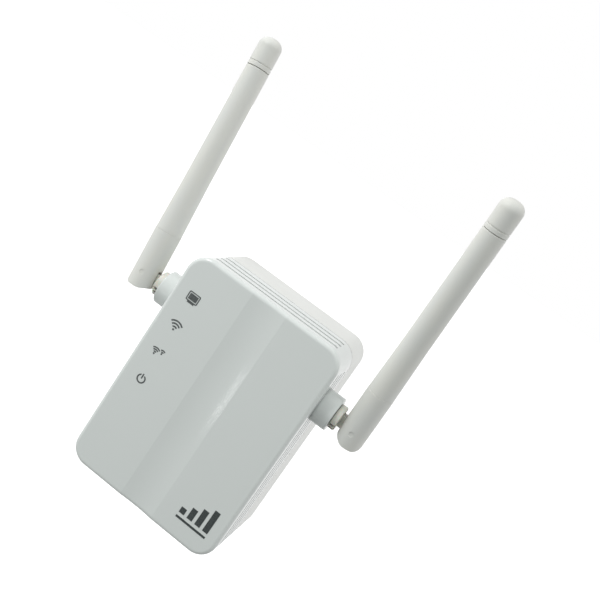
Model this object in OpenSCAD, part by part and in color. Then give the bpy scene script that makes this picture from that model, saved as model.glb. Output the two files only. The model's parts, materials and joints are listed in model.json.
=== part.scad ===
// Plug-in wireless range extender with two folding antennas.
// Millimetres. +Z is up, +X is to the right when the front is faced, and the front faces -Y.
// The origin is the middle of the plug nose's end face, halfway between the two mains pins.

/* [Case] */
// Width of the case
body_w = 60; // [59:0.5:62]
// Height of the case
body_h = 84; // [83:0.5:87]
// Depth of the two shells together
body_d = 41; // [40.5:0.5:43]
// Depth of the front cover alone
cover_d = 20; // [19.5:0.5:21]
// Radius of the case's four corners, seen from the front
corner_r = 7; // [6.5:0.5:8]
// Rounding of the front and rear edges
edge_r = 1.4; // [1:0.1:1.8]
// Wall thickness of both shells
wall = 2; // [1.8:0.1:2.2]

/* [Front face] */
// Width of the shallow trough that runs down the front
trough_w = 13.2; // [12:0.2:15]
// Depth of the trough at its middle
trough_depth = 0.45; // [0.4:0.05:0.7]
// Number of grooves around the sides of the front cover
groove_count = 3; // [1:1:3]
// Width of one side groove
groove_w = 1.3; // [1:0.1:1.5]
// Depth of one side groove
groove_depth = 0.8; // [0.5:0.1:0.9]
// Distance from the case's middle to the column of status icons
icon_x = 22.3; // [21.5:0.1:22.5]
// Height of the top icon above the case's middle
icon_top_z = 28; // [27:0.5:29]
// Distance from one icon to the next
icon_pitch = 10.9; // [10:0.1:11.5]

/* [Plug] */
// Depth of the raised plug nose behind the rear face
nose_d = 17; // [16:0.5:18]
// Distance between the two mains pins
pin_pitch = 19; // [18.6:0.1:19.4]
// Diameter of a mains pin's bare end
pin_d = 4; // [3.9:0.05:4.1]
// Length of a mains pin beyond the nose
pin_len = 19; // [18.5:0.5:19.5]
// Length of a pin's insulating sleeve beyond the nose
sleeve_len = 10; // [9.5:0.5:10.5]
// Diameter of a pin's insulating sleeve
sleeve_d = 3.6; // [3.5:0.05:3.7]

/* [Antennas] */
// Height of the swivel axis above the case's middle
swivel_z = 22.4; // [21:0.2:23]
// Distance of the swivel axis behind the front face
swivel_back = 10.6; // [10.2:0.2:11]
// Distance from the case's middle to an antenna's elbow pin
elbow_x = 44.1; // [44:0.1:45]
// Length of an antenna from its elbow pin to its tip
antenna_len = 89; // [84:1:100]
// Diameter of an antenna at its elbow
antenna_d = 9.5; // [9.4:0.1:9.6]
// Diameter of an antenna at its tip
antenna_tip_d = 8.3; // [8:0.1:8.6]
// Forward swing of the right antenna as stored, in degrees
right_swing = 8; // [-20:1:20]
// Forward swing of the left antenna as stored, in degrees
left_swing = -6; // [-20:1:20]
// Outward lean of the right antenna as stored, in degrees
right_lean = 0; // [0:1:20]
// Outward lean of the left antenna as stored, in degrees
left_lean = 6; // [0:1:20]

/* [Socket and button] */
// Distance from the case's middle to the network socket, towards the left
socket_x = 10; // [9:0.5:11]
// Distance from the case's middle to the push button, towards the right
button_x = 14; // [13:0.5:15]
// How far the push button stands out of the bottom
button_proud = 0.7; // [0.5:0.1:1]

/* [Hidden] */
$fn = 64;

// Extra length that carries a cutting shape clear of the surface it cuts
over = 1;
// Depths along Y of the case's main planes
rear_y = -nose_d;
front_y = -nose_d - body_d;
part_y = front_y + cover_d;
// Half sizes of the case
half_w = body_w / 2;
half_h = body_h / 2;
// Where the case screws stand
screw_x = half_w - 6.5;
screw_z = half_h - 6.5;
post_r = 3.2;
screw_r = 1.3;
screw_head_r = 2.4;
screw_seat_y = rear_y - 11;
// A mains pin's core inside its sleeve, and how far the sleeve starts inside the nose
pin_core_r = 1.4;
sleeve_inset = 3;
// Swivel: the axis, the bore in the cover's side and the base that turns in it
swivel_y = front_y + swivel_back;
boss_r = 6.2;
boss_end = half_w + 6;
bore_r = 3.5;
spigot_r = 3.44;
collar_r = 4.5;
collar_start = boss_end + 0.15;
collar_end = collar_start + 2.1;
neck_r = 2.3;
tongue_t = 3;
tongue_r = 2.15;
eye_r = 3;
coax_r = 0.6;
coax_bore_r = 1;
// Elbow: the pins stand in the knuckle's two lugs and turn in the eye
elbow_pin_r = 0.9;
elbow_pin_end = antenna_d / 2 - 0.85;
elbow_bore_r = 0.95;
knuckle_slot = tongue_t + 0.6;
knuckle_len = 15.6;
knuckle_bore_r = 3;
knuckle_end_r = antenna_d / 2 + 0.7;
// The round neck stops short of what the knuckle's end sweeps; only the flat tongue goes on
neck_end = elbow_x - knuckle_end_r - 0.1;
cap_len = 11.1;
cap_groove = 0.22;
tube_wall = 1.1;
// Boards
board_t = 1.2;
main_y = part_y - 2;
power_y = rear_y - 6;
main_post_places = [[-21.5, -16], [21.5, 4]];
power_post_places = [[-16.5, -13], [16.5, 13]];
board_screw_r = 0.95;
// Height and places of the four pins that carry the supply from one board to the other
header_z = -28;
function header_x(i) = 9 + (i - 1.5) * 2.54;
// Wire leads through the power board, and where each component's leads stand
lead_r = 0.3;
can_r = 4;
primary_places = [[-14, 17.5], [-14, 27]];
output_places = [[-14.5, -27], [-9.7, -17.5]];
resistor_leads = [[-4.5, 10], [-4.5, 13.2]];
choke_leads = [[-6.1, 23], [-2.9, 23]];
disc_leads = [[15.5, -2.4], [15.5, 2.4]];
winding_leads = [[3, -18.4], [6, -18.4], [9, -18.4], [3, -9.6], [9, -9.6]];
function can_leads(places) = [for (p = places, side = [-1, 1]) [p[0] + side * can_r * 0.45, p[1]]];
// Where the two antenna leads plug on to the main board
connector_places = [[20, 30], [-15, 30]];
// Network socket on the front side of the main board
jack_w = 16;
jack_t = 13.4;
jack_len = 21;
jack_mouth_w = 11.9;
jack_mouth_t = 8.3;
// Push button in the bottom wall
button_y = main_y - 3.2;
button_r = 2.4;
button_hole_r = 2.75;
plunger_r = 1.2;
// Printed marks stand this far out of the surface
print_t = 0.06;
// The line between the two shells
shadow_gap_w = 0.3;
shadow_gap_depth = 0.6;

white = "whitesmoke";
ivory = "ivory";
grey = "dimgray";

// ---- building blocks ----

// A box from its low corner to its high corner
module box(lo, hi) {
    translate(lo) cube(hi - lo);
}

// A flat outline in X and Z, thickened from y0 to y1
module slab(y0, y1) {
    translate([0, y1, 0]) rotate([90, 0, 0]) linear_extrude(y1 - y0) children();
}

// A round rod along Y
module rod_y(x, z, y0, y1, r) {
    translate([x, y0, z]) rotate([-90, 0, 0]) cylinder(r = r, h = y1 - y0);
}

// A round rod along X
module rod_x(y, z, x0, x1, r) {
    translate([x0, y, z]) rotate([0, 90, 0]) cylinder(r = r, h = x1 - x0);
}

// A round rod along Z
module rod_z(x, y, z0, z1, r) {
    translate([x, y, z0]) cylinder(r = r, h = z1 - z0);
}

// A rectangle with round corners, centred
module round_rect(w, h, r) {
    square([w - 2 * r, h], center = true);
    square([w, h - 2 * r], center = true);
    for (x = [-1, 1], z = [-1, 1]) translate([x * (w / 2 - r), z * (h / 2 - r)]) circle(r);
}

// Half the section of a block of half width w and depth d, from its middle outwards.
// e0 and e1 round its edge at depth 0 and at depth d; an edge of 0 stays square.
module half_section(w, d, e0, e1) {
    translate([0, e0]) square([w, d - e0 - e1]);
    if (e0 > 0) {
        square([w - e0, 2 * e0]);
        translate([w - e0, e0]) circle(e0);
    }
    if (e1 > 0) {
        translate([0, d - 2 * e1]) square([w - e1, 2 * e1]);
        translate([w - e1, d - e1]) circle(e1);
    }
}

// A block standing along Y with round corners, and round edges at its front or its rear
module pillow(w, h, r, y0, y1, e0, e1) {
    d = y1 - y0;
    translate([0, y0, 0]) {
        for (side = [0, 1]) mirror([side, 0, 0]) {
            translate([0, 0, -h / 2 + r]) linear_extrude(h - 2 * r) half_section(w / 2, d, e0, e1);
            for (z = [-1, 1]) translate([w / 2 - r, 0, z * (h / 2 - r)])
                rotate([-90, 0, 0]) rotate_extrude() half_section(r, d, e0, e1);
        }
        for (turn = [90, -90]) rotate([0, turn, 0])
            translate([0, 0, -w / 2 + r]) linear_extrude(w - 2 * r) half_section(h / 2, d, e0, e1);
    }
}

// Repeats its children at the case's four screw posts
module at_case_screws() {
    for (x = [-1, 1], z = [-1, 1]) translate([x * screw_x, 0, z * screw_z]) children();
}

// Draws its children, made for the right-hand side, on either side
module on_side(side) {
    mirror([side < 0 ? 1 : 0, 0, 0]) children();
}

// Puts children drawn about the swivel axis, with the antenna upright, where that swivel stands
module at_swivel(side) {
    on_side(side) translate([0, swivel_y, swivel_z])
        rotate([side < 0 ? left_swing : right_swing, 0, 0]) children();
}

// Puts children drawn about the elbow pin, with the antenna along +Z, where that antenna stands
module at_elbow(side) {
    at_swivel(side) translate([elbow_x, 0, 0])
        rotate([0, side < 0 ? left_lean : right_lean, 0]) children();
}

// A pan-head screw along Y: the head's seat is at y, the shank runs to -Y
module screw(y, r, head_r, head_t, len) {
    difference() {
        union() {
            rod_y(0, 0, y - len, y + head_t / 2, r);
            rod_y(0, 0, y, y + head_t, head_r);
        }
        for (turn = [0, 90]) rotate([0, turn, 0])
            box([-head_r * 0.6, y + head_t * 0.45, -head_r * 0.12],
                [head_r * 0.6, y + head_t + over, head_r * 0.12]);
    }
}

// An arc of a ring: radius r to its middle, width w, opening half angle a about +Y
module ring_arc(r, w, a) {
    reach = (r + w) * 2;
    intersection() {
        difference() {
            circle(r + w / 2, $fn = 48);
            circle(r - w / 2, $fn = 48);
        }
        polygon([[0, 0], [-reach * tan(a), reach], [reach * tan(a), reach]]);
    }
}

// A chip with legs along its two long sides, on the front side of the main board
module legged_chip(x, z, w, h, t, legs) {
    box([x - w / 2, main_y - t, z - h / 2], [x + w / 2, main_y - 0.15, z + h / 2]);
    leg_pitch = h / legs;
    for (side = [-1, 1], i = [0:legs - 1])
        translate([x + side * (w / 2 + 0.45), 0, z - h / 2 + (i + 0.5) * leg_pitch])
            box([-0.6, main_y - 0.4, -0.2], [0.6, main_y, 0.2]);
}

// ---- case ----

module side_grooves() {
    pitch = cover_d / (groove_count + 1) * 0.96;
    top_half = half_w - 5.3;
    for (i = [1:groove_count]) {
        y = part_y - i * pitch;
        for (side = [-1, 1]) {
            box([-top_half, y - groove_w / 2, side * half_h - groove_depth],
                [top_half, y + groove_w / 2, side * half_h + groove_depth]);
            box([side * half_w - groove_depth, y - groove_w / 2, -half_h + 6],
                [side * half_w + groove_depth, y + groove_w / 2, half_h - 7.2]);
        }
    }
}

// The trough is the side of a large upright spool. Its ends flare with the rounding of the front's
// top and bottom edges, which so keep their width across the trough.
module front_trough() {
    trough_r = (trough_w * trough_w / 4 + trough_depth * trough_depth) / (2 * trough_depth);
    flat_h = half_h - edge_r;
    translate([0, front_y + trough_depth - trough_r, 0]) rotate_extrude($fn = 200) {
        translate([0, -flat_h]) square([trough_r, 2 * flat_h]);
        for (end = [0, 1]) mirror([0, end]) difference() {
            translate([0, flat_h]) square([trough_r + edge_r, edge_r + over]);
            translate([trough_r + edge_r, flat_h]) circle(edge_r, $fn = 32);
        }
    }
}

module antenna_boss() {
    round_r = 0.45;
    inner = half_w - wall;
    translate([0, swivel_y, swivel_z]) rotate([0, 90, 0]) rotate_extrude() {
        translate([0, inner]) square([boss_r, boss_end - round_r - inner]);
        translate([0, inner]) square([boss_r - round_r, boss_end - inner]);
        translate([boss_r - round_r, boss_end - round_r]) circle(round_r);
    }
}

module front_cover() {
    color(white) difference() {
        union() {
            difference() {
                pillow(body_w, body_h, corner_r, front_y, part_y, edge_r, 0);
                side_grooves();
                pillow(body_w - 2 * wall, body_h - 2 * wall, corner_r - wall,
                    front_y + wall, part_y + over, 0, 0);
            }
            for (side = [-1, 1]) on_side(side) antenna_boss();
            at_case_screws() rod_y(0, 0, front_y + wall / 2, part_y, post_r);
            for (p = main_post_places) rod_y(p[0], p[1], front_y + wall / 2, main_y, 2.5);
        }
        front_trough();
        for (side = [-1, 1]) on_side(side)
            rod_x(swivel_y, swivel_z, half_w - wall - over, boss_end + over, bore_r);
        at_case_screws() rod_y(0, 0, part_y - 9, part_y + over, screw_r - 0.2);
        for (p = main_post_places) rod_y(p[0], p[1], main_y - 8, main_y + over, board_screw_r - 0.15);
        for (i = [0:3]) rod_y(-icon_x, icon_top_z - i * icon_pitch,
            front_y + 0.8, front_y + wall + over, 1.75);
        box([-socket_x - jack_w / 2 - 0.2, main_y - jack_t - 0.2, -half_h - over],
            [-socket_x + jack_w / 2 + 0.2, main_y + 0.2, -half_h + wall + over]);
        rod_z(button_x, button_y, -half_h - over, -half_h + wall + over, button_hole_r);
    }
}

module vent_slots() {
    for (i = [-3:3]) box([i * 4.5 - 0.7, rear_y - 16, -half_h - over],
        [i * 4.5 + 0.7, rear_y - 6, -half_h + wall + over]);
}

module label_recess(t, gap) {
    translate([0, 0, -half_h + 18.5]) slab(rear_y - t, rear_y - t + 0.15 + gap * over)
        round_rect(36 + gap, 20 + gap, 1.5);
}

// A ring that follows the case's inner walls: its outside stands off them by gap
module inner_ring(gap, t) {
    w = body_w - 2 * wall - 2 * gap;
    h = body_h - 2 * wall - 2 * gap;
    difference() {
        round_rect(w, h, corner_r - wall - gap);
        round_rect(w - 2 * t, h - 2 * t, corner_r - wall - gap - t);
    }
}

// The rear housing's rim stands inside the front cover to line the two shells up
module rim() {
    slab(part_y - 1.6, part_y + 0.5) inner_ring(0.1, 0.9);
    slab(part_y, part_y + wall) inner_ring(-0.5, 1.5);
}

// A fine step around the rear housing's front edge
module shadow_gap() {
    slab(part_y - over, part_y + shadow_gap_w) difference() {
        round_rect(body_w + over, body_h + over, corner_r);
        round_rect(body_w - 2 * shadow_gap_depth, body_h - 2 * shadow_gap_depth,
            corner_r - shadow_gap_depth);
    }
}

module rear_housing() {
    color(white) difference() {
        union() {
            difference() {
                pillow(body_w, body_h, corner_r, part_y, rear_y, 0, edge_r);
                pillow(body_w - 2 * wall, body_h - 2 * wall, corner_r - wall,
                    part_y - over, rear_y - wall, 0, 0);
                shadow_gap();
            }
            rim();
            at_case_screws() rod_y(0, 0, part_y, rear_y - wall / 2, post_r);
            for (p = power_post_places) rod_y(p[0], p[1], power_y + board_t, rear_y - wall / 2, 2.2);
        }
        at_case_screws() {
            rod_y(0, 0, part_y - over, rear_y + over, screw_r + 0.15);
            rod_y(0, 0, screw_seat_y, rear_y + over, screw_head_r + 0.2);
        }
        at_case_screws() rod_y(0, 0, part_y - 4, part_y, post_r + 0.1);
        slab(rear_y - wall - over, rear_y + over) round_rect(35.4, 13.9, 6.1);
        label_recess(0.2, 0.3);
        vent_slots();
        for (p = power_post_places)
            rod_y(p[0], p[1], rear_y - wall + 0.6, rear_y - wall / 2, board_screw_r);
        for (p = power_post_places)
            rod_y(p[0], p[1], power_y + board_t - over, rear_y - wall + 0.7, board_screw_r - 0.15);
        box([-socket_x - jack_w / 2 - 0.5, part_y - 3, -half_h + wall / 2],
            [-socket_x + jack_w / 2 + 0.5, part_y, -half_h + wall + 2 * over]);
    }
}

module case_screws() {
    color("silver") at_case_screws() screw(screw_seat_y, screw_r, screw_head_r, 1.8, 18);
}

module rating_label() {
    color("lightgray") label_recess(0.2, 0);
}

// Four rising bars over a rule: a plain signal-strength sign
module front_emblem() {
    bar_w = 2.1;
    bar_pitch = 3.3;
    color(grey) translate([19.2, 0, -29.6]) slab(front_y - print_t, front_y) {
        for (i = [0:3]) translate([(i - 1.5) * bar_pitch - bar_w / 2, -3.4])
            square([bar_w, 2.2 + i * 2.1]);
        translate([-6.1, -5.4]) square([12.2, 0.8]);
    }
}

module network_icon() {
    difference() {
        round_rect(4.5, 3.4, 0.5, $fn = 24);
        round_rect(3.8, 2.7, 0.3, $fn = 24);
    }
    square([3.2, 2.1], center = true);
    translate([-1.3, -2.2]) square([2.6, 0.6]);
}

module wireless_icon() {
    translate([0, -1.6]) {
        circle(0.35, $fn = 24);
        for (i = [1:3]) ring_arc(i * 1.02 + 0.05, 0.5, 45);
    }
}

module pairing_icon() {
    translate([-1.1, -1.2]) {
        circle(0.3, $fn = 24);
        for (i = [1:3]) ring_arc(i * 0.72, 0.42, 38);
    }
    translate([1.25, 0.1]) {
        circle(0.28, $fn = 24);
        for (i = [1:2]) ring_arc(i * 0.66, 0.4, 38);
    }
}

module power_icon() {
    difference() {
        circle(1.65, $fn = 48);
        circle(1.2, $fn = 48);
        translate([-0.65, 0]) square([1.3, 3]);
    }
    translate([-0.22, 0.1]) square([0.44, 1.8]);
}

module status_icons() {
    color(grey) translate([-icon_x, 0, icon_top_z]) slab(front_y - print_t, front_y) {
        network_icon();
        translate([0, -icon_pitch]) wireless_icon();
        translate([0, -2 * icon_pitch]) pairing_icon();
        translate([0, -3 * icon_pitch]) power_icon();
    }
}

// ---- mains plug ----

module plug_carrier() {
    color(white) difference() {
        union() {
            slab(rear_y - wall - 1.5, rear_y - wall) round_rect(41, 19, 4);
            pillow(35.2, 13.7, 6, rear_y - wall - 0.5, 0, 0, 0.8);
        }
        for (x = [-1, 1]) {
            rod_y(x * pin_pitch / 2, 0, rear_y - wall - 2 * over, over, pin_core_r);
            rod_y(x * pin_pitch / 2, 0, -sleeve_inset, over, sleeve_d / 2);
        }
    }
}

// A brass pin: bare round end, slimmer core under the sleeve and a thin tail into the power board
module mains_pin(x) {
    tip_r = 0.8;
    color("khaki") {
        translate([x, 0, 0]) rotate([-90, 0, 0]) rotate_extrude() {
            translate([0, sleeve_len]) square([pin_d / 2, pin_len - tip_r - sleeve_len]);
            translate([0, sleeve_len]) square([pin_d / 2 - tip_r, pin_len - sleeve_len]);
            translate([pin_d / 2 - tip_r, pin_len - tip_r]) circle(tip_r);
            translate([0, rear_y - wall - 1.5]) square([pin_core_r, sleeve_len - rear_y + wall + 1.5]);
            translate([0, power_y - 0.7]) square([0.7, -power_y]);
        }
    }
}

module line_pin() {
    mains_pin(-pin_pitch / 2);
}

module neutral_pin() {
    mains_pin(pin_pitch / 2);
}

module pin_sleeve(x) {
    color("gainsboro") difference() {
        rod_y(x, 0, -sleeve_inset, sleeve_len, sleeve_d / 2);
        rod_y(x, 0, -sleeve_inset - over, sleeve_len + over, pin_core_r);
    }
}

module line_sleeve() {
    pin_sleeve(-pin_pitch / 2);
}

module neutral_sleeve() {
    pin_sleeve(pin_pitch / 2);
}

// ---- power board ----

module power_board() {
    leads = concat(can_leads(primary_places), can_leads(output_places), resistor_leads,
        choke_leads, disc_leads, winding_leads);
    color("darkolivegreen") difference() {
        slab(power_y, power_y + board_t) square([40, 66], center = true);
        for (x = [-1, 1]) rod_y(x * pin_pitch / 2, 0, power_y - over, power_y + board_t + over, 0.75);
        for (p = power_post_places)
            rod_y(p[0], p[1], power_y - over, power_y + board_t + over, board_screw_r + 0.15);
        for (p = leads) rod_y(p[0], p[1], power_y - over, power_y + board_t + over, lead_r + 0.05);
        for (i = [0:3]) box([header_x(i) - 0.35, power_y - over, header_z - 0.35],
            [header_x(i) + 0.35, power_y + board_t + over, header_z + 0.35]);
    }
}

module power_board_screws() {
    color("silver") for (p = power_post_places) translate([p[0], 0, p[1]])
        mirror([0, 1, 0]) screw(-power_y, board_screw_r, 1.8, 1.2, 4);
}

// Soldered leads, from just inside a component to just behind the power board
module board_leads(places, y0) {
    for (p = places) rod_y(p[0], p[1], y0, power_y + board_t + 0.6, lead_r);
}

// Stands on one lead; the other bends over at its top and comes down beside it
module fusible_resistor() {
    p = resistor_leads[0];
    q = resistor_leads[1];
    top_y = power_y - 10.7;
    color("seagreen") {
        rod_y(p[0], p[1], power_y - 9.5, power_y - 0.5, 1.9);
        board_leads([p], top_y);
        board_leads([q], top_y);
        rod_z(p[0], top_y, p[1] - lead_r, q[1] + lead_r, lead_r);
    }
}

module bridge_rectifier() {
    color("#2a2a2c") {
        box([1, power_y - 2.6, 6.5], [5.8, power_y - 0.1, 10.5]);
        for (x = [1.9, 4.3], z = [5.4, 10.3]) box([x, power_y - 0.6, z], [x + 0.7, power_y, z + 1.3]);
    }
}

// A radial can standing on a board, with its rubber bung towards the board
module radial_can(x, z, r, len) {
    translate([x, power_y, z]) rotate([90, 0, 0]) {
        rotate_extrude() {
            translate([0, 0.2]) square([r - 0.5, len]);
            translate([0, 0.7]) square([r, len - 1]);
            translate([r - 0.5, 0.7]) circle(0.5);
            translate([r - 0.5, len - 0.3]) circle(0.5);
        }
    }
}

module primary_capacitors() {
    color("#30343c") {
        for (p = primary_places) radial_can(p[0], p[1], can_r, 12);
        board_leads(can_leads(primary_places), power_y - 1);
    }
}

module line_choke() {
    mid = (choke_leads[0] + choke_leads[1]) / 2;
    color("#4a4038") {
        rod_y(mid[0], mid[1], power_y - 1.6, power_y - 0.2, 3.2);
        rod_y(mid[0], mid[1], power_y - 8, power_y - 0.2, 2.2);
        rod_y(mid[0], mid[1], power_y - 8.2, power_y - 6.8, 3.2);
        board_leads(choke_leads, power_y - 1);
    }
}

// E-shaped ferrite halves around the winding: two outer legs, a middle leg and two backs
module transformer_core() {
    color("#3a3a3e") {
        y0 = power_y - 13;
        y1 = power_y - 1;
        for (z = [-21.5, -9.1]) box([-1, y0 + 3, z], [13, y1 - 3, z + 2.6]);
        for (x = [-1, 11.2]) box([x, y0 + 3, -21], [x + 1.8, y1 - 3, -7]);
        rod_z(6, (y0 + y1) / 2, -20, -8, 1.9);
    }
}

module transformer_winding() {
    color("gold") {
        mid_y = power_y - 7;
        difference() {
            union() {
                for (z = [-18.8, -10]) rod_z(6, mid_y, z, z + 0.8, 4.9);
                rod_z(6, mid_y, -18.8, -9.2, 4.3);
            }
            rod_z(6, mid_y, -20, -8, 2);
        }
        board_leads(winding_leads, power_y - 4);
    }
}

module switcher_chip() {
    color("#242426") {
        box([8, power_y - 1.7, 14.5], [12, power_y - 0.15, 19.5]);
        for (side = [-1, 1], i = [0:3]) translate([10 + side * 2.4, 0, 15.1 + i * 1.27])
            box([-0.6, power_y - 0.4, -0.2], [0.6, power_y, 0.2]);
    }
}

module y_capacitor() {
    color("steelblue") {
        rod_x(power_y - 4.3, 0, 14.2, 16.8, 3.6);
        board_leads(disc_leads, power_y - 3);
    }
}

module output_diode() {
    color("#242426") {
        box([-5.6, power_y - 2.3, -28.3], [-1.4, power_y - 0.1, -25.7]);
        for (x = [-6.2, -2]) box([x, power_y - 0.6, -27.8], [x + 1.2, power_y, -26.2]);
    }
}

module output_capacitors() {
    color("#28406a") {
        for (p = output_places) radial_can(p[0], p[1], can_r, 11);
        board_leads(can_leads(output_places), power_y - 1);
    }
}

module board_header() {
    color("#3c3c40") {
        box([header_x(0) - 1.25, main_y + board_t, header_z - 1.25],
            [header_x(3) + 1.25, main_y + board_t + 8.5, header_z + 1.25]);
        for (i = [0:3]) box([header_x(i) - 0.3, main_y - 0.9, header_z - 0.3],
            [header_x(i) + 0.3, power_y + board_t + 0.6, header_z + 0.3]);
    }
}

// ---- main board ----

module main_board() {
    color("#1f5c3a") difference() {
        slab(main_y, main_y + board_t) square([50, 74], center = true);
        at_case_screws() rod_y(0, 0, main_y - over, main_y + board_t + over, post_r + 0.6);
        for (p = main_post_places)
            rod_y(p[0], p[1], main_y - over, main_y + board_t + over, board_screw_r + 0.15);
        for (i = [0:3]) box([header_x(i) - 0.35, main_y - over, header_z - 0.35],
            [header_x(i) + 0.35, main_y + board_t + over, header_z + 0.35]);
    }
}

module main_board_screws() {
    color("silver") for (p = main_post_places) translate([p[0], 0, p[1]])
        screw(main_y + board_t, board_screw_r, 1.8, 1.2, 6);
}

module wifi_chip() {
    color("#202022") box([3.5, main_y - 1, 3.5], [12.5, main_y, 12.5]);
}

module shield_can() {
    color("silver") difference() {
        box([-3, main_y - 2.6, -3], [18, main_y, 18]);
        box([-2.7, main_y - 2.3, -2.7], [17.7, main_y + over, 17.7]);
    }
}

module memory_chip() {
    color("#202022") legged_chip(8, -9.5, 4, 5, 1.75, 4);
}

module crystal() {
    color("silver") box([-9.5, main_y - 1, 20], [-6.3, main_y, 25]);
}

module voltage_regulator() {
    color("#202022") {
        box([15, main_y - 1.8, -16], [18.5, main_y - 0.1, -9.5]);
        for (z = [-15.4, -13.1, -10.8]) box([13.3, main_y - 0.5, z], [15.2, main_y, z + 0.8]);
    }
}

module power_inductor() {
    color("#47474b") {
        box([12, main_y - 3, -24], [17.5, main_y - 0.1, -18.5]);
        for (x = [11.7, 16.6]) box([x, main_y - 0.5, -23], [x + 1.2, main_y, -19.5]);
    }
}

module lan_transformer() {
    color("#202022") legged_chip(-socket_x, -12.5, 9.5, 7, 5.5, 8);
}

// The socket opens downwards through the bottom wall
module ethernet_jack() {
    z0 = -half_h + 0.1;
    y0 = main_y - jack_t;
    color("gray") difference() {
        box([-socket_x - jack_w / 2, y0, z0], [-socket_x + jack_w / 2, main_y, z0 + jack_len]);
        box([-socket_x - jack_mouth_w / 2, y0 + 2, z0 - over],
            [-socket_x + jack_mouth_w / 2, y0 + 2 + jack_mouth_t - 1.6, z0 + 14]);
        box([-socket_x - 3.2, y0 + 2, z0 - over],
            [-socket_x + 3.2, y0 + 2 + jack_mouth_t, z0 + 14]);
        box([-socket_x - 5.2, y0 + 1, z0 + 5], [-socket_x + 5.2, y0 + 2.1, z0 + 16]);
        box([-socket_x - jack_w / 2 - over, main_y - 0.6, z0 + 17.5],
            [-socket_x + jack_w / 2 + over, main_y + over, z0 + jack_len + over]);
        box([-socket_x - jack_w / 2 - over, main_y - 0.3, z0 - over],
            [-socket_x + jack_w / 2 + over, main_y + over, z0 + 5]);
    }
}

// Eight sprung contacts lean into the socket from its front wall
module jack_contacts() {
    z0 = -half_h + 0.1;
    y0 = main_y - jack_t;
    color("gold") for (i = [0:7]) translate([-socket_x + (i - 3.5) * 1.02, y0 + 1.3, z0 + 6])
        rotate([-14, 0, 0]) box([-0.23, 0, 0], [0.23, 0.35, 7.5]);
}

module status_leds() {
    color("palegreen") for (i = [0:3]) translate([-icon_x, 0, icon_top_z - i * icon_pitch])
        box([-0.8, main_y - 0.7, -0.4], [0.8, main_y, 0.4]);
}

// One clear moulding: four round pipes on a bridge
module light_guide() {
    pipe_r = 1.5;
    color("azure", 0.6) {
        for (i = [0:3]) rod_y(-icon_x, icon_top_z - i * icon_pitch, front_y + 1, main_y - 1.1, pipe_r);
        box([-icon_x - 2.2, main_y - 11, icon_top_z - 3 * icon_pitch - 2],
            [-icon_x + 2.2, main_y - 9.6, icon_top_z + 2]);
    }
}

module antenna_connectors() {
    color("gold") for (p = connector_places) translate([p[0], main_y, p[1]]) {
        box([-1.5, -0.4, -1.5], [1.5, 0, 1.5]);
        rotate([90, 0, 0]) difference() {
            cylinder(r = 1.1, h = 1.2);
            translate([0, 0, 0.4]) cylinder(r = 0.85, h = over);
        }
    }
}

// ---- antenna leads inside the case ----

// A point on a cubic curve through four control points
function curve(p, t) = pow(1 - t, 3) * p[0] + 3 * t * pow(1 - t, 2) * p[1]
    + 3 * t * t * (1 - t) * p[2] + t * t * t * p[3];

// A tube of radius r swept along a cubic curve, which nowhere runs along the direction called across
module lead(p, r) {
    rings = 20;
    sides = 8;
    step = 1 / (rings - 1);
    across = [0.3, 0, 1];
    function heading(t) = curve(p, min(1, t + 0.01)) - curve(p, max(0, t - 0.01));
    function unit(v) = v / norm(v);
    function ring(t) =
        let (d = unit(heading(t)), u = unit(cross(d, across)), v = cross(d, u))
        [for (s = [0:sides - 1]) curve(p, t) + r * (cos(s * 360 / sides) * u + sin(s * 360 / sides) * v)];
    points = [for (i = [0:rings - 1]) each ring(i * step)];
    walls = [for (i = [0:rings - 2], s = [0:sides - 1])
        [i * sides + s, i * sides + (s + 1) % sides,
         (i + 1) * sides + (s + 1) % sides, (i + 1) * sides + s]];
    ends = [[for (s = [sides - 1:-1:0]) s], [for (s = [0:sides - 1]) (rings - 1) * sides + s]];
    polyhedron(points, concat(walls, ends));
}

// From a connector on the board, up in a loop and sideways into the swivel's bore
module antenna_lead(place) {
    side = sign(place[0]);
    start = [place[0], main_y - 1.3, place[1]];
    finish = [side * (half_w - wall - 2.2), swivel_y, swivel_z];
    lead([start, start + [0, -9, 1], finish - [side * 9, 0, 0], finish], coax_r);
}

module coax_right() {
    color(grey) antenna_lead(connector_places[0]);
}

module coax_left() {
    color(grey) antenna_lead(connector_places[1]);
}

// ---- push button ----

module switch_housing() {
    color("#303034") difference() {
        box([button_x - 3, main_y - 5.4, -35.4], [button_x + 3, main_y, -31.6]);
        rod_z(button_x, button_y, -35.4 - over, -33.4, plunger_r + 0.3);
    }
}

module switch_plunger() {
    color("tan") rod_z(button_x, button_y, -37.3, -34.6, plunger_r);
}

module wps_button() {
    color("lightgray") {
        translate([button_x, button_y, -half_h - button_proud]) rotate_extrude() {
            translate([0, 0.4]) square([button_r, wall + button_proud + 0.4]);
            square([button_r - 0.4, 1]);
            translate([button_r - 0.4, 0.4]) circle(0.4);
        }
        rod_z(button_x, button_y, -half_h + wall + 0.3, -half_h + wall + 1.1, 3.1);
        rod_z(button_x, button_y, -half_h + wall + 0.3, -37.3, 1.5);
    }
}

// ---- antennas ----

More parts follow.
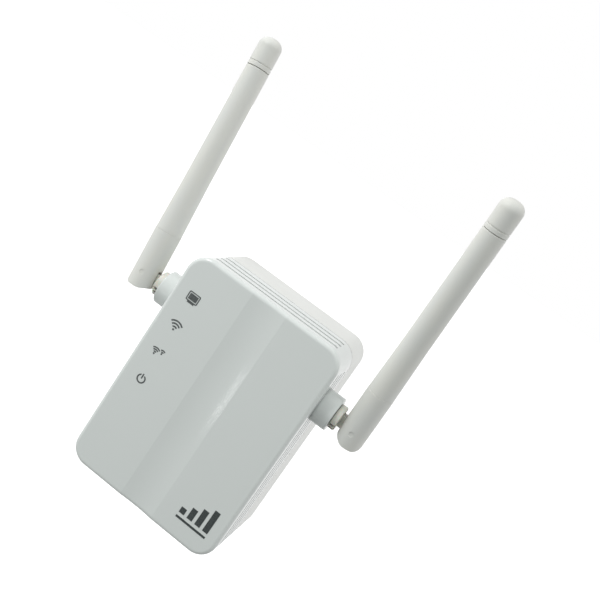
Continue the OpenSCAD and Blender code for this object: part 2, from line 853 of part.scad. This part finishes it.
// The base that turns in the cover: split spigot with a snap lip, notched collar, neck, flat tongue
// and eye
module swivel_base(side) {
    lip_start = half_w - wall - 1.5;
    lip_end = half_w - wall - 0.15;
    chamfer = 0.3;
    notch_depth = 1.2;
    color(ivory) at_swivel(side) difference() {
        union() {
            rod_x(0, 0, lip_start, lip_end, spigot_r + 0.6);
            rod_x(0, 0, lip_start, collar_end, spigot_r);
            rod_x(0, 0, collar_start, collar_end - chamfer, collar_r);
            translate([collar_end - chamfer, 0, 0]) rotate([0, 90, 0])
                cylinder(r1 = collar_r, r2 = collar_r - chamfer, h = chamfer);
            rod_x(0, 0, collar_end - over, neck_end, neck_r);
            box([collar_end - over, -tongue_t / 2, -tongue_r], [elbow_x, tongue_t / 2, tongue_r]);
            rod_y(elbow_x, 0, -tongue_t / 2, tongue_t / 2, eye_r);
        }
        rod_x(0, 0, lip_start - over, elbow_x, coax_bore_r);
        for (turn = [0, 90]) rotate([turn, 0, 0])
            box([lip_start - over, -0.4, -bore_r - over], [half_w + 2.5, 0.4, bore_r + over]);
        for (turn = [-156, -137, -120, 24, 43, 60]) rotate([turn, 0, 0])
            box([collar_start + 0.25, collar_r - notch_depth, -0.5],
                [collar_end + over, collar_r + over, 0.5]);
        rod_y(elbow_x, 0, -tongue_t, tongue_t, elbow_bore_r);
        box([elbow_x - 1, -coax_bore_r, -1], [elbow_x + eye_r + over, coax_bore_r, eye_r + over]);
    }
}

module neck_coax(side) {
    color(grey) at_swivel(side) rod_x(0, 0, half_w - wall - 1.9, elbow_x - 0.9, coax_r);
}

// Two stub pins leave the middle of the elbow free for the antenna's lead
module elbow_pins(side) {
    color("silver") at_elbow(side) for (turn = [0, 180]) rotate([0, 0, turn])
        rod_y(0, 0, coax_bore_r + 0.05, elbow_pin_end, elbow_pin_r);
}

// Lower sheath: a tube with a slot for the tongue. Its end is round about the pin on the inner
// side, which sweeps past the collar, and fuller on the outer side.
module knuckle(side) {
    r = antenna_d / 2;
    tongue_gap = 0.35;
    half_slot = knuckle_slot / 2;
    reach = antenna_d;
    outer_r = 2.2;
    chamfer = 0.12;
    dimple_depth = 0.2;
    color(white) at_elbow(side) difference() {
        intersection() {
            union() {
                rod_z(0, 0, -knuckle_end_r, knuckle_len - chamfer, r);
                translate([0, 0, knuckle_len - chamfer]) cylinder(r1 = r, r2 = r - chamfer, h = chamfer);
            }
            union() {
                rod_y(0, 0, -r - over, r + over, knuckle_end_r);
                rod_y(r - outer_r, -knuckle_end_r + outer_r, -r - over, r + over, outer_r);
                box([0, -r - over, -knuckle_end_r], [r - outer_r, r + over, 0]);
                box([0, -r - over, -knuckle_end_r + outer_r], [r + over, r + over, over]);
                box([-r - over, -r - over, 0], [r + over, r + over, knuckle_len + over]);
            }
        }
        rod_z(0, 0, eye_r + 1.5, knuckle_len + over, knuckle_bore_r);
        rod_z(0, 0, 0, eye_r + 2.5, coax_bore_r + 0.2);
        rod_y(0, 0, -half_slot, half_slot, eye_r + tongue_gap);
        box([-reach, -half_slot, -reach], [0, half_slot, tongue_r + tongue_gap]);
        box([-reach, -half_slot, -reach], [tongue_r + tongue_gap, half_slot, 0]);
        rod_y(0, 0, -elbow_pin_end, elbow_pin_end, elbow_pin_r);
        for (turn = [0, 180]) rotate([0, 0, turn])
            rod_y(0, 0, r - dimple_depth, r + over, elbow_pin_r);
    }
}

// Upper sheath: two gentle tapers, open below, closed by the cap above
module tube(side) {
    waist = knuckle_len + 20;
    waist_r = antenna_tip_d / 2 + 0.2;
    chamfer = 0.25;
    top = antenna_len - cap_len - cap_groove;
    color(white) at_elbow(side) difference() {
        union() {
            translate([0, 0, knuckle_len + 0.02])
                cylinder(r1 = antenna_d / 2 - 0.05, r2 = waist_r, h = waist - knuckle_len - 0.02);
            translate([0, 0, waist])
                cylinder(r1 = waist_r, r2 = antenna_tip_d / 2, h = top - chamfer - waist);
            translate([0, 0, top - chamfer])
                cylinder(r1 = antenna_tip_d / 2, r2 = antenna_tip_d / 2 - chamfer, h = chamfer);
            rod_z(0, 0, knuckle_len - 6, waist, knuckle_bore_r - 0.02);
            rod_z(0, 0, top - over, top + 4, antenna_tip_d / 2 - tube_wall);
        }
        rod_z(0, 0, knuckle_len - 6 - over, top + 4 + over, knuckle_bore_r - 0.6);
        rod_z(0, 0, waist, top - 2, antenna_tip_d / 2 - tube_wall);
    }
}

module cap(side) {
    tip_r = 3.3;
    ring_z = 1.5;
    r = antenna_tip_d / 2;
    bottom = antenna_len - cap_len;
    color(white) at_elbow(side) difference() {
        rotate_extrude() {
            translate([0, bottom]) square([r, cap_len - tip_r]);
            translate([0, bottom]) square([r - tip_r, cap_len]);
            intersection() {
                translate([r - tip_r, antenna_len - tip_r]) circle(tip_r);
                translate([0, bottom]) square([r, cap_len]);
            }
        }
        rod_z(0, 0, bottom - over, bottom + 4.4, r - tube_wall + 0.02);
        translate([0, 0, bottom + ring_z]) rotate_extrude() translate([r, 0]) circle(cap_groove * 1.2);
    }
}

// Sleeve dipole: lead, brass sleeve and upper wire
module radiator(side) {
    sleeve_start = knuckle_len + 12;
    sleeve_end = sleeve_start + 24;
    color("khaki") at_elbow(side) {
        rod_z(0, 0, 0.9, sleeve_end + 1, coax_r);
        difference() {
            rod_z(0, 0, sleeve_start, sleeve_end, 2);
            rod_z(0, 0, sleeve_start - over, sleeve_end - 1.2, 1.7);
        }
        rod_z(0, 0, sleeve_end, sleeve_end + 24, 0.4);
    }
}

front_cover();
rear_housing();
case_screws();
rating_label();
front_emblem();
status_icons();
plug_carrier();
line_pin();
neutral_pin();
line_sleeve();
neutral_sleeve();
power_board();
power_board_screws();
fusible_resistor();
bridge_rectifier();
primary_capacitors();
line_choke();
transformer_core();
transformer_winding();
switcher_chip();
y_capacitor();
output_diode();
output_capacitors();
board_header();
main_board();
main_board_screws();
wifi_chip();
shield_can();
memory_chip();
crystal();
voltage_regulator();
power_inductor();
lan_transformer();
ethernet_jack();
jack_contacts();
status_leds();
light_guide();
antenna_connectors();
coax_right();
coax_left();
switch_housing();
switch_plunger();
wps_button();
swivel_base(1);  // swivel_base_right
elbow_pins(1);  // elbow_pins_right
knuckle(1);  // knuckle_right
tube(1);  // tube_right
cap(1);  // cap_right
radiator(1);  // radiator_right
neck_coax(1);  // neck_coax_right
swivel_base(-1);  // swivel_base_left
elbow_pins(-1);  // elbow_pins_left
knuckle(-1);  // knuckle_left
tube(-1);  // tube_left
cap(-1);  // cap_left
radiator(-1);  // radiator_left
neck_coax(-1);  // neck_coax_left
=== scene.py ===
"""Plug-in wireless range extender: its finishes, studio and camera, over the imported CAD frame. Metres."""
import json
import math

import bpy
from mathutils import Matrix, Vector


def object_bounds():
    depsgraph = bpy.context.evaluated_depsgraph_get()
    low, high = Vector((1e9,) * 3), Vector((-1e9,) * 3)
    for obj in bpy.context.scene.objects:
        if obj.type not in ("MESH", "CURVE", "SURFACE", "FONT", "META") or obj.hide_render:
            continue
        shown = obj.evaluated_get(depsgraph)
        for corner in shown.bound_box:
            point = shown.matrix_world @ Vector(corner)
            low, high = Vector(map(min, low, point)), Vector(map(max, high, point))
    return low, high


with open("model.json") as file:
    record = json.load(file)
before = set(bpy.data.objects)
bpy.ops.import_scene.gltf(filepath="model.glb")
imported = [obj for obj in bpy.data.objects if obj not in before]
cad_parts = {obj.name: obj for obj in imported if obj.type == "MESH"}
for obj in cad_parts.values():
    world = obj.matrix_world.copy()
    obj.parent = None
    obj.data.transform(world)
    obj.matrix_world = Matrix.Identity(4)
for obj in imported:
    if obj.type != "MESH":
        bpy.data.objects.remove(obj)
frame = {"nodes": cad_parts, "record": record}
cad_low, cad_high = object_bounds()

MM = 0.001
SLOTS = {part["node"]: part["material_slot"] for part in frame["record"]["subparts"]}

# The view: what the camera looks at, from where, and how far it leans to its left
AIM = Vector((0.0010, -0.0260, 0.0418))
AZIMUTH = math.radians(10.7)
ELEVATION = math.radians(11.3)
ROLL = math.radians(-34.17)
DISTANCE = 0.3212
LENS_MM = 55.22


def toward(azimuth, elevation):
    """The way from the object to a place: azimuth 0 is in front, and 90 degrees is on its right."""
    flat = math.cos(elevation)
    return Vector((math.sin(azimuth) * flat, -math.cos(azimuth) * flat, math.sin(elevation)))


# ---- finishes ----


class Finish:
    """A Principled material, and the few node groups that its colour, roughness and relief are made from.

    Sizes are real: every pattern is laid out in the object's own coordinates, in metres.
    """

    def __init__(self, name, edge=0.12 * MM, **sockets):
        self.material = bpy.data.materials.new(name)
        self.material.use_nodes = True
        self.tree = self.material.node_tree
        self.shader = self.tree.nodes["Principled BSDF"]
        self.place = self.node("ShaderNodeTexCoord").outputs["Object"]
        self.normal = self.rounded(edge)
        for socket, value in sockets.items():
            self.shader.inputs[socket.replace("_", " ")].default_value = value

    def node(self, kind, **settings):
        made = self.tree.nodes.new(kind)
        for key, value in settings.items():
            setattr(made, key, value)
        return made

    def feed(self, socket, value):
        """Puts a number or colour on a socket, or links an output to it."""
        if isinstance(value, bpy.types.NodeSocket):
            self.tree.links.new(value, socket)
        else:
            socket.default_value = value

    def math(self, operation, a, b=0.0, clamp=False):
        made = self.node("ShaderNodeMath", operation=operation, use_clamp=clamp)
        self.feed(made.inputs[0], a)
        self.feed(made.inputs[1], b)
        return made.outputs[0]

    def remap(self, value, start, end, low, high):
        """value from start..end, as low..high, held at both ends."""
        made = self.node("ShaderNodeMapRange", interpolation_type="SMOOTHSTEP")
        for socket, number in zip(made.inputs, (value, start, end, low, high)):
            self.feed(socket, number)
        return made.outputs[0]

    def mix(self, factor, a, b, blend="MIX"):
        made = self.node("ShaderNodeMix", data_type="RGBA", blend_type=blend)
        self.feed(made.inputs["Factor"], factor)
        self.feed(made.inputs[6], (*a, 1) if isinstance(a, tuple) else a)
        self.feed(made.inputs[7], (*b, 1) if isinstance(b, tuple) else b)
        return made.outputs[2]

    def stretched(self, stretch):
        """The object's coordinates, scaled along each axis: below 1 draws a pattern out along it."""
        made = self.node("ShaderNodeMapping")
        self.feed(made.inputs["Vector"], self.place)
        made.inputs["Scale"].default_value = stretch
        return made.outputs[0]

    def noise(self, size, detail=3.0, stretch=None, offset=0.0):
        """Cloudy noise whose features are size metres across."""
        made = self.node("ShaderNodeTexNoise", noise_dimensions="4D")
        self.feed(made.inputs["Vector"], self.stretched(stretch) if stretch else self.place)
        made.inputs["Scale"].default_value = 1 / size
        made.inputs["Detail"].default_value = detail
        made.inputs["W"].default_value = offset
        return made.outputs["Fac"]

    def cells(self, size, feature="F1", stretch=None):
        """Distances inside cells that are size metres across."""
        made = self.node("ShaderNodeTexVoronoi", feature=feature)
        self.feed(made.inputs["Vector"], self.stretched(stretch) if stretch else self.place)
        made.inputs["Scale"].default_value = 1 / size
        return made.outputs["Distance"]

    def colour(self, value):
        self.feed(self.shader.inputs["Base Color"], value)

    def roughness(self, value):
        self.feed(self.shader.inputs["Roughness"], value)

    def rounded(self, edge):
        """Softens the shading of sharp edges by this radius in metres."""
        made = self.node("ShaderNodeBevel", samples=4)
        made.inputs["Radius"].default_value = edge
        self.feed(self.shader.inputs["Normal"], made.outputs[0])
        return made.outputs[0]

    def relief(self, height, depth):
        """Raises the surface by depth metres where height is 1. Calls add up."""
        made = self.node("ShaderNodeBump")
        made.inputs["Strength"].default_value = 1.0
        made.inputs["Distance"].default_value = depth
        self.feed(made.inputs["Height"], height)
        self.feed(made.inputs["Normal"], self.normal)
        self.normal = made.outputs[0]
        self.feed(self.shader.inputs["Normal"], self.normal)

    def painted_hollow_shade(self, reach, darkest=0.4):
        """Painted shade for the base colour: 1 on open surfaces, and down to darkest in grooves and gaps
        closed in within reach metres.
        """
        made = self.node("ShaderNodeAmbientOcclusion", samples=8)
        made.inputs["Distance"].default_value = reach
        return self.remap(made.outputs["AO"], 0.2, 0.85, darkest, 1)

    def body(self, colour, rough, mottle=0.03, mottle_size=9 * MM, smear=0.04, smear_size=5 * MM, reach=0.0):
        """The usual base: a colour that drifts a little, and a roughness with faint smears.

        A reach above 0 also paints shade into the colour of grooves and gaps.
        """
        clouds = self.noise(mottle_size, 4.0)
        dark = tuple(c * (1 - mottle) for c in colour)
        light = tuple(min(1.0, c * (1 + mottle)) for c in colour)
        drift = self.mix(self.remap(clouds, 0.35, 0.65, 0, 1), dark, light)
        # Painted shade: the ambient occlusion multiplies the base colour down in grooves and gaps
        self.colour(self.mix(1.0, drift, self.painted_hollow_shade(reach), blend="MULTIPLY") if reach else drift)
        self.roughness(self.remap(self.noise(smear_size, 5.0, offset=3.0), 0.3, 0.7,
                                  rough - smear, rough + smear))
        return self


def gloss_case(name):
    """High-gloss white ABS: a trace of orange peel and of handling haze, and painted shade in the grooves.
    """
    f = Finish(name, edge=0.2 * MM, IOR=1.5)
    f.body((0.785, 0.815, 0.80), 0.10, mottle=0.003, mottle_size=30 * MM, smear=0.01, smear_size=16 * MM,
           reach=1.5 * MM)
    f.relief(f.noise(2.6 * MM, 2.0), 0.0001 * MM)
    return f


def satin_shell(name):
    """Spark-eroded white ABS of the rear shell and the plug."""
    f = Finish(name, IOR=1.5)
    # reach paints shade into the colour of its grooves and gaps
    f.body((0.81, 0.815, 0.79), 0.36, mottle=0.01, mottle_size=18 * MM, reach=1.5 * MM)
    f.relief(f.noise(0.34 * MM, 3.0), 0.012 * MM)
    return f


def antenna_sheath(name):
    """Satin elastomer: close matt grain, drawn-out flow marks and a slight warm drift."""
    f = Finish(name, IOR=1.49, Sheen_Weight=0.12, Sheen_Roughness=0.5)
    cool, warm = (0.75, 0.755, 0.73), (0.78, 0.775, 0.73)
    flow = f.noise(5 * MM, 4.0, stretch=(1.0, 1.0, 0.16))
    f.colour(f.mix(f.remap(flow, 0.3, 0.7, 0, 1), cool, warm))
    f.roughness(f.remap(f.noise(2.2 * MM, 5.0, offset=2.0), 0.3, 0.7, 0.40, 0.50))
    f.relief(f.noise(0.28 * MM, 3.0), 0.014 * MM)
    f.relief(flow, 0.02 * MM)
    return f


def ivory_nylon(name):
    """Natural nylon of the swivels: waxy, slightly translucent, uneven in tint."""
    f = Finish(name, IOR=1.53, Subsurface_Weight=0.15, Subsurface_Scale=0.8 * MM)
    # reach paints shade into the colour of its grooves and gaps
    f.body((0.78, 0.775, 0.70), 0.36, mottle=0.03, mottle_size=3 * MM, smear=0.07, smear_size=1.5 * MM,
           reach=1.5 * MM)
    f.relief(f.noise(0.4 * MM, 3.0), 0.01 * MM)
    return f


def satin_button(name):
    f = Finish(name, IOR=1.5)
    f.body((0.62, 0.63, 0.63), 0.33, mottle=0.02, mottle_size=2 * MM)
    f.relief(f.noise(0.25 * MM, 3.0), 0.008 * MM)
    return f


def print_ink(name, colour=(0.065, 0.075, 0.075)):
    """Pad-print ink: semi-matt, a little thin in places, with the stipple of the pad."""
    f = Finish(name, edge=0.02 * MM, IOR=1.45)
    f.body(colour, 0.45, mottle=0.22, mottle_size=0.5 * MM, smear=0.08, smear_size=0.4 * MM)
    f.relief(f.noise(0.12 * MM, 2.0), 0.003 * MM)
    return f


def label_film(name):
    """Brushed silver-grey polyester film."""
    f = Finish(name, Metallic=0.35, IOR=1.5)
    brushed = f.noise(0.2 * MM, 3.0, stretch=(0.02, 1.0, 1.0))
    f.colour(f.mix(brushed, (0.55, 0.56, 0.57), (0.68, 0.69, 0.70)))
    f.roughness(f.remap(brushed, 0.3, 0.7, 0.34, 0.5))
    f.relief(brushed, 0.003 * MM)
    return f


def metal(name, colour, rough, tarnish, brushed=None, depth=0.004 * MM):
    """Plated or bare metal: a colour that dulls in patches, and machining or rolling marks along an axis."""
    f = Finish(name, Metallic=1.0)
    patches = f.remap(f.noise(2.5 * MM, 5.0), 0.42, 0.72, 0, 1)
    f.colour(f.mix(patches, colour, tarnish))
    marks = f.noise(0.14 * MM, 3.0, stretch=brushed or (1.0, 1.0, 1.0))
    f.roughness(f.math("ADD", f.remap(marks, 0.3, 0.7, rough - 0.06, rough + 0.08),
                       f.math("MULTIPLY", patches, 0.12)))
    f.relief(marks, depth)
    return f


def pin_nickel(name):
    return metal(name, (0.76, 0.74, 0.70), 0.2, (0.62, 0.58, 0.50), brushed=(1.0, 0.06, 1.0))


def zinc_steel(name):
    return metal(name, (0.64, 0.65, 0.67), 0.3, (0.50, 0.49, 0.46))


def tinned_steel(name):
    return metal(name, (0.68, 0.69, 0.70), 0.34, (0.56, 0.56, 0.55), brushed=(1.0, 1.0, 0.05))


def gold_plate(name):
    return metal(name, (0.86, 0.62, 0.24), 0.2, (0.74, 0.50, 0.20), brushed=(1.0, 1.0, 0.08))


def bare_brass(name):
    return metal(name, (0.74, 0.54, 0.25), 0.28, (0.46, 0.31, 0.14), brushed=(1.0, 1.0, 0.1))


def black_sleeve(name):
    f = Finish(name, IOR=1.5)
    f.body((0.022, 0.022, 0.025), 0.42, mottle=0.2, mottle_size=2 * MM)
    f.relief(f.noise(0.2 * MM, 3.0), 0.01 * MM)
    return f


def solder_mask(name):
    """Green board: copper traces and pads just showing under the mask, over the weave of the glass cloth."""
    f = Finish(name, IOR=1.52, Coat_Weight=0.3, Coat_Roughness=0.12)
    runs = f.remap(f.cells(3.4 * MM, "DISTANCE_TO_EDGE", (1.0, 0.01, 1.0)), 0.05, 0.09, 1, 0)
    pads = f.remap(f.cells(2.2 * MM, "F1", (1.0, 0.01, 1.0)), 0.13, 0.17, 1, 0)
    copper = f.math("MAXIMUM", runs, pads)
    cloth = f.noise(0.5 * MM, 2.0, stretch=(1.0, 1.0, 0.35))
    base = f.mix(f.remap(cloth, 0.3, 0.7, 0, 1), (0.012, 0.085, 0.038), (0.018, 0.11, 0.05))
    f.colour(f.mix(copper, base, (0.03, 0.19, 0.075)))
    f.roughness(f.remap(cloth, 0.3, 0.7, 0.28, 0.4))
    f.relief(copper, 0.03 * MM)
    f.relief(cloth, 0.01 * MM)
    return f


def phenolic_board(name):
    """Tan paper-phenolic board with pressed paper fibres."""
    f = Finish(name, IOR=1.52)
    fibres = f.noise(0.7 * MM, 5.0, stretch=(0.25, 1.0, 1.0))
    f.colour(f.mix(f.remap(fibres, 0.3, 0.7, 0, 1), (0.36, 0.22, 0.085), (0.48, 0.32, 0.14)))
    f.roughness(f.remap(fibres, 0.3, 0.7, 0.5, 0.62))
    f.relief(fibres, 0.02 * MM)
    return f


def moulding_compound(name):
    """Chip body: charcoal epoxy with a fine matt grain."""
    f = Finish(name, IOR=1.55)
    f.body((0.016, 0.016, 0.018), 0.58, mottle=0.25, mottle_size=0.8 * MM)
    f.relief(f.noise(0.14 * MM, 3.0), 0.012 * MM)
    return f


def striped_sleeve(name, colour, stripe):
    """Heat-shrink sleeve of a can capacitor, with the pale stripe that marks one side of it."""
    f = Finish(name, IOR=1.5, Coat_Weight=0.3, Coat_Roughness=0.1)
    facing = f.node("ShaderNodeSeparateXYZ")
    f.feed(facing.inputs[0], f.node("ShaderNodeTexCoord").outputs["Normal"])
    band = f.remap(facing.outputs[0], 0.86, 0.88, 0, 1)
    creases = f.noise(1.6 * MM, 4.0, stretch=(1.0, 0.3, 1.0))
    dark = f.mix(f.remap(creases, 0.3, 0.7, 0, 1), colour, tuple(c * 1.25 for c in colour))
    f.colour(f.mix(band, dark, stripe))
    f.roughness(f.remap(creases, 0.3, 0.7, 0.24, 0.36))
    f.relief(creases, 0.03 * MM)
    return f


def dark_can(name):
    return striped_sleeve(name, (0.012, 0.016, 0.03), (0.42, 0.43, 0.45))


def blue_can(name):
    return striped_sleeve(name, (0.012, 0.045, 0.16), (0.55, 0.57, 0.60))


def dipped_coat(name, colour, size=1.2 * MM):
    """A dipped coating: glossy, thick and thin, with a soft uneven skin."""
    f = Finish(name, IOR=1.52, Coat_Weight=0.4, Coat_Roughness=0.08)
    f.body(colour, 0.34, mottle=0.16, mottle_size=size, smear=0.08, smear_size=size)
    f.relief(f.noise(size, 3.0), 0.03 * MM)
    return f


def green_coat(name):
    return dipped_coat(name, (0.035, 0.14, 0.055))


def blue_coat(name):
    return dipped_coat(name, (0.02, 0.12, 0.36))


def sintered_ferrite(name):
    """Ferrite: dark, hard and granular, with small bright crystals."""
    f = Finish(name, IOR=2.2)
    grains = f.cells(0.22 * MM)
    f.colour(f.mix(f.remap(grains, 0.1, 0.6, 0, 1), (0.035, 0.035, 0.04), (0.075, 0.075, 0.082)))
    f.roughness(f.remap(grains, 0.1, 0.6, 0.42, 0.66))
    f.relief(grains, 0.02 * MM)
    return f


def winding_tape(name):
    """Yellow polyester tape, wound in turns whose edges show."""
    f = Finish(name, IOR=1.6, Coat_Weight=0.4, Coat_Roughness=0.1)
    turns = f.node("ShaderNodeTexWave", wave_type="BANDS", bands_direction="Z", wave_profile="SAW")
    f.feed(turns.inputs["Vector"], f.place)
    turns.inputs["Scale"].default_value = 0.31 / (1.4 * MM)
    turns.inputs["Distortion"].default_value = 0.6
    f.colour(f.mix(turns.outputs["Fac"], (0.60, 0.33, 0.02), (0.78, 0.50, 0.05)))
    f.roughness(f.remap(f.noise(0.8 * MM, 3.0), 0.3, 0.7, 0.22, 0.36))
    f.relief(turns.outputs["Fac"], 0.05 * MM)
    return f


def black_nylon(name):
    f = Finish(name, IOR=1.53)
    f.body((0.028, 0.028, 0.03), 0.44, mottle=0.18, mottle_size=3 * MM, smear=0.07)
    f.relief(f.noise(0.22 * MM, 3.0), 0.012 * MM)
    return f


def coax_jacket(name):
    """Grey jacket, faintly ribbed by the braid under it."""
    f = Finish(name, IOR=1.4)
    braid = f.cells(0.3 * MM, "DISTANCE_TO_EDGE", (1.0, 1.0, 0.5))
    f.colour(f.mix(f.remap(braid, 0.0, 0.4, 0, 1), (0.07, 0.068, 0.066), (0.11, 0.108, 0.104)))
    f.roughness(f.remap(braid, 0.0, 0.4, 0.4, 0.5))
    f.relief(braid, 0.02 * MM)
    return f


def clear_acrylic(name):
    """Light guide: clear, with faint flow lines from the moulding."""
    f = Finish(name, IOR=1.49, Transmission_Weight=0.9)
    flow = f.noise(3 * MM, 3.0, stretch=(1.0, 0.2, 1.0))
    f.colour(f.mix(flow, (0.86, 0.92, 0.94), (0.93, 0.96, 0.97)))
    f.roughness(f.remap(flow, 0.3, 0.7, 0.05, 0.12))
    f.relief(flow, 0.01 * MM)
    return f


def led_resin(name):
    f = Finish(name, IOR=1.5, Subsurface_Weight=0.2, Subsurface_Scale=0.4 * MM)
    f.body((0.60, 0.62, 0.36), 0.3, mottle=0.1, mottle_size=0.6 * MM)
    f.relief(f.noise(0.2 * MM, 2.0), 0.006 * MM)
    return f


FINISHES = {
    "case_plastic": satin_shell,
    "antenna_plastic": antenna_sheath,
    "ivory_plastic": ivory_nylon,
    "button_plastic": satin_button,
    "print_ink": print_ink,
    "label_film": label_film,
    "pin_brass": pin_nickel,
    "sleeve_plastic": black_sleeve,
    "steel": zinc_steel,
    "shield_metal": tinned_steel,
    "green_board": solder_mask,
    "tan_board": phenolic_board,
    "chip_black": moulding_compound,
    "capacitor_sleeve": dark_can,
    "output_sleeve": blue_can,
    "resistor_coat": green_coat,
    "ferrite": sintered_ferrite,
    "winding_tape": winding_tape,
    "ceramic_coat": blue_coat,
    "jack_plastic": black_nylon,
    "gold_contact": gold_plate,
    "brass": bare_brass,
    "lead_jacket": coax_jacket,
    "clear_plastic": clear_acrylic,
    "led_resin": led_resin,
}


def dress(node, material):
    """Gives a CAD node one finish on every face."""
    slots = node.data.materials
    slots.clear()
    slots.append(material)


materials = {slot: make(slot).material for slot, make in FINISHES.items()}
for name, node in frame["nodes"].items():
    dress(node, materials[SLOTS[name]])
dress(frame["nodes"]["front_cover"], gloss_case("front_gloss").material)
dress(frame["nodes"]["status_icons"], print_ink("icon_ink", (0.11, 0.12, 0.12)).material)


# ---- studio ----

# The walls of the light tent: azimuth and elevation of each wall's middle in degrees, and its brightness.
# The camera looks in through the dark gap between the left and right walls.
TENT = {
    "left_front": (-50, 0, 0.75),
    "left": (-90, 20, 0.50),
    "left_low": (-90, -45, 0.30),
    "left_rear": (-135, 0, 0.60),
    "right_front": (50, 0, 0.45),
    "right": (90, 10, 0.50),
    "right_rear": (135, 0, 0.60),
    "rear": (180, 0, 0.50),
    "rear_low": (180, -45, 0.30),
    "front_top": (0, 50, 0.40),
    "left_top": (-90, 50, 0.40),
    "right_top": (90, 50, 0.35),
    "roof": (0, 90, 0.50),
    "table": (0, -90, 0.20),
}
# The cosine of the angle from its middle at which a wall has faded out
WALL_EDGE = 0.55
# The walls in front are faintly green, the others white
FRONT_TINT = (0.965, 1.0, 0.985)

# The floor's width, its depth below the object, and its glow
FLOOR_WIDE = 60
FLOOR_DROP = 1.5
FLOOR_GLOW = 0.6


def tent():
    """Plain white for the camera. The object is lit by the tent's walls, which fade out at their edges."""
    world = bpy.data.worlds.new("tent")
    bpy.context.scene.world = world
    world.use_nodes = True
    tree = world.node_tree
    tree.nodes.clear()

    def node(kind, **settings):
        made = tree.nodes.new(kind)
        for key, value in settings.items():
            setattr(made, key, value)
        return made

    place = node("ShaderNodeTexCoord").outputs["Generated"]
    total = None
    for azimuth, elevation, brightness in TENT.values():
        facing = node("ShaderNodeVectorMath", operation="DOT_PRODUCT")
        tree.links.new(place, facing.inputs[0])
        facing.inputs[1].default_value = toward(math.radians(azimuth), math.radians(elevation))
        fade = node("ShaderNodeMapRange", interpolation_type="SMOOTHSTEP")
        tree.links.new(facing.outputs["Value"], fade.inputs[0])
        for socket, value in zip(fade.inputs[1:5], (WALL_EDGE, 1, 0, brightness)):
            socket.default_value = value
        add = node("ShaderNodeMath", operation="ADD")
        tree.links.new(fade.outputs[0], add.inputs[0])
        if total:
            tree.links.new(total, add.inputs[1])
        else:
            add.inputs[1].default_value = 0
        total = add.outputs[0]
    front = node("ShaderNodeSeparateXYZ")
    tree.links.new(place, front.inputs[0])
    ahead = node("ShaderNodeMapRange", interpolation_type="SMOOTHSTEP")
    tree.links.new(front.outputs["Y"], ahead.inputs[0])
    for socket, value in zip(ahead.inputs[1:5], (0.1, -0.5, 0, 1)):
        socket.default_value = value
    tint = node("ShaderNodeMix", data_type="RGBA")
    tree.links.new(ahead.outputs[0], tint.inputs["Factor"])
    tint.inputs[6].default_value = (1, 1, 1, 1)
    tint.inputs[7].default_value = (*FRONT_TINT, 1)
    lit = node("ShaderNodeBackground")
    tree.links.new(total, lit.inputs["Strength"])
    tree.links.new(tint.outputs[2], lit.inputs["Color"])
    plain = node("ShaderNodeBackground")
    plain.inputs["Color"].default_value = (1, 1, 1, 1)
    path = node("ShaderNodeLightPath")
    pick = node("ShaderNodeMixShader")
    tree.links.new(path.outputs["Is Camera Ray"], pick.inputs[0])
    tree.links.new(lit.outputs[0], pick.inputs[1])
    tree.links.new(plain.outputs[0], pick.inputs[2])
    out = node("ShaderNodeOutputWorld")
    tree.links.new(pick.outputs[0], out.inputs[0])


def soft_light(name, azimuth, elevation, distance, wide, tall, watts):
    """A rectangular soft box that faces the point the camera looks at. Angles in degrees."""
    data = bpy.data.lights.new(name, "AREA")
    data.shape = "RECTANGLE"
    data.size = wide
    data.size_y = tall
    data.energy = watts
    light = bpy.data.objects.new(name, data)
    direction = toward(math.radians(azimuth), math.radians(elevation))
    facing = (-direction).to_track_quat("-Z", "Y").to_matrix().to_4x4()
    light.matrix_world = Matrix.Translation(AIM + direction * distance) @ facing
    bpy.context.scene.collection.objects.link(light)


def floor():
    """A wide white floor, far below. It shows, and leaves the lighting from below to the tent."""
    bpy.ops.mesh.primitive_plane_add(size=FLOOR_WIDE, location=(0, 0, cad_low.z - FLOOR_DROP))
    plane = bpy.context.object
    plane.name = "floor"
    for ray in ("diffuse", "glossy", "transmission", "shadow"):
        setattr(plane, "visible_" + ray, False)
    f = Finish("floor_white", Emission_Strength=FLOOR_GLOW)
    f.body((0.9, 0.9, 0.9), 0.8, mottle=0.01, mottle_size=0.4)
    f.shader.inputs["Emission Color"].default_value = (1, 1, 1, 1)
    dress(plane, f.material)


tent()
floor()
soft_light("key", -48, 40, 0.5, 0.14, 0.14, 0.66)
# Two faint tubes: their reflections are the thin streak at the right edge of the trough
soft_light("left_tube", -22.3, -20.0, 1.0, 0.008, 0.075, 0.014)
soft_light("right_tube", -20.9, -20.3, 1.0, 0.008, 0.085, 0.020)

scene = bpy.context.scene
scene.view_settings.view_transform = "Standard"

lens = bpy.data.cameras.new("camera")
lens.lens = LENS_MM
lens.sensor_width = 36
lens.clip_start = 0.01
camera = bpy.data.objects.new("camera", lens)
back = toward(AZIMUTH, ELEVATION)
upright = (-back).to_track_quat("-Z", "Y").to_matrix().to_4x4()
camera.matrix_world = Matrix.Translation(AIM + back * DISTANCE) @ upright @ Matrix.Rotation(-ROLL, 4, "Z")
scene.collection.objects.link(camera)
scene.camera = camera
